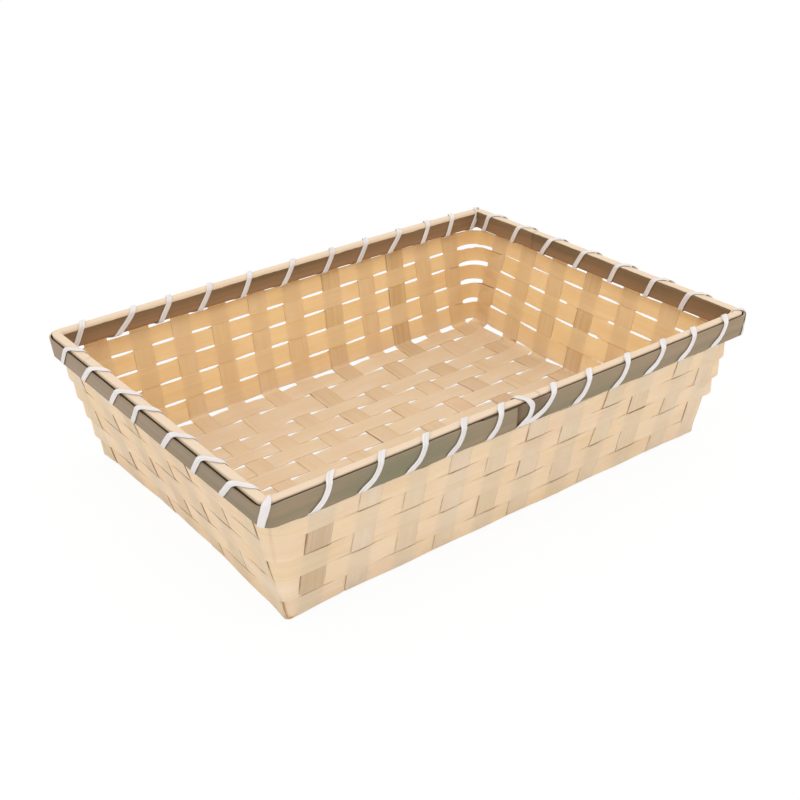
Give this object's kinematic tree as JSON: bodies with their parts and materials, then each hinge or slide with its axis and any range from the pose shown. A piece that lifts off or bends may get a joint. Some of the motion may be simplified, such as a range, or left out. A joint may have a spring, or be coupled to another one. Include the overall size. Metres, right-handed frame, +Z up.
{
  "type": "chip basket",
  "caption": "Shallow oblong basket of flat woven wood splints, with sloping walls and a rim of an outer band and an inner hoop bound by a flat lash.",
  "frame": {"origin": "on the floor under the middle of the basket", "axes": "+X along the long walls, +Y from the front long wall to the back one, +Z up out of the mouth"},
  "size_m": [0.4021, 0.3022, 0.1009],
  "materials": {
    "pale_splint": "bare split bamboo, matt",
    "tan_splint": "bare split bamboo, matt",
    "band_skin": "olive bamboo skin, satin",
    "hoop_wood": "bamboo slat, pale edge and brown skin",
    "lash_strip": "white flat strip with fine lengthwise ribs"
  },
  "bodies": {
    "root": {"cross_splint_01": "pale_splint", "cross_splint_02": "pale_splint", "cross_splint_03": "tan_splint", "cross_splint_04": "pale_splint", "cross_splint_05": "pale_splint", "cross_splint_06": "tan_splint", "cross_splint_07": "pale_splint", "cross_splint_08": "pale_splint", "cross_splint_09": "tan_splint", "cross_splint_10": "pale_splint", "cross_splint_11": "pale_splint", "long_splint_01": "tan_splint", "long_splint_02": "tan_splint", "long_splint_03": "tan_splint", "long_splint_04": "tan_splint", "long_splint_05": "tan_splint", "long_splint_06": "tan_splint", "long_splint_07": "tan_splint", "base_filler_01": "pale_splint", "base_filler_02": "pale_splint", "base_filler_03": "pale_splint", "base_filler_04": "pale_splint", "base_filler_05": "pale_splint", "base_filler_06": "pale_splint", "wall_round_01": "pale_splint", "wall_round_02": "pale_splint", "wall_round_03": "pale_splint", "wall_round_04": "pale_splint", "wall_round_05": "pale_splint", "rim_outer_band": "band_skin", "rim_inner_hoop_01": "hoop_wood", "rim_inner_hoop_02": "hoop_wood", "rim_inner_hoop_03": "hoop_wood", "rim_lashing_01": "lash_strip", "rim_lashing_02": "lash_strip", "lash_tie": "lash_strip"}
  },
  "joints": []
}
